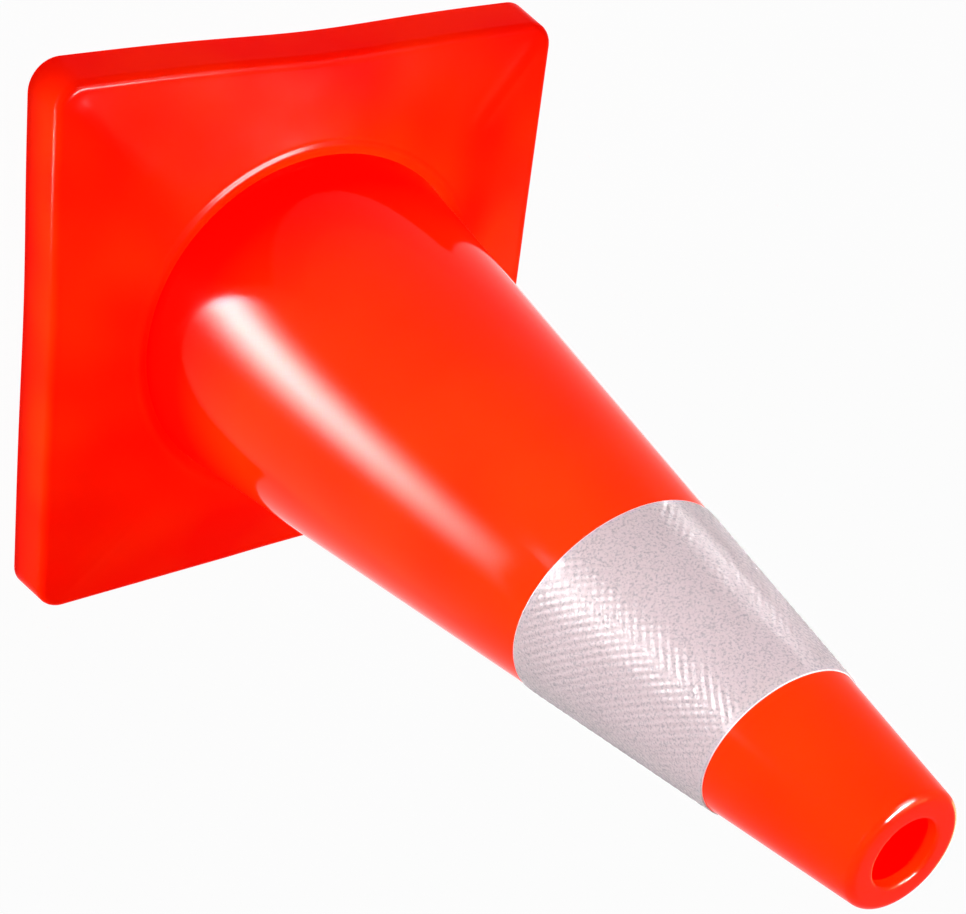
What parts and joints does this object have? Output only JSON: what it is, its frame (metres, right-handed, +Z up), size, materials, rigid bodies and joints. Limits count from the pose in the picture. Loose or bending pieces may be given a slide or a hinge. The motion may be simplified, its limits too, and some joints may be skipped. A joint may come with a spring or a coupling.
{
  "type": "traffic cone",
  "caption": "Orange traffic cone with a square base, hollow body, open tip and a slip-on white reflective collar, for marking hazards on roads.",
  "frame": {"origin": "middle of the square base's underside, on the cone's axis", "axes": "+Z up along the cone's axis; X and Y along the sides of the square base"},
  "size_m": [0.27, 0.27, 0.457],
  "materials": {
    "base_pvc": "glossy fluorescent red-orange PVC",
    "cone_pvc": "glossy fluorescent red-orange PVC",
    "collar_backing": "white PVC sheet",
    "collar_film": "white prismatic reflective film with an embossed cell lattice"
  },
  "bodies": {
    "cone": {"base": "base_pvc", "cone_body": "cone_pvc"},
    "collar": {"collar_backing": "collar_backing", "collar_film": "collar_film"}
  },
  "joints": [
    {"name": "collar_lift", "type": "slide", "parent": "cone", "child": "collar", "axis": [0, 0, 1], "range_m": [0, 0.175]}
  ]
}
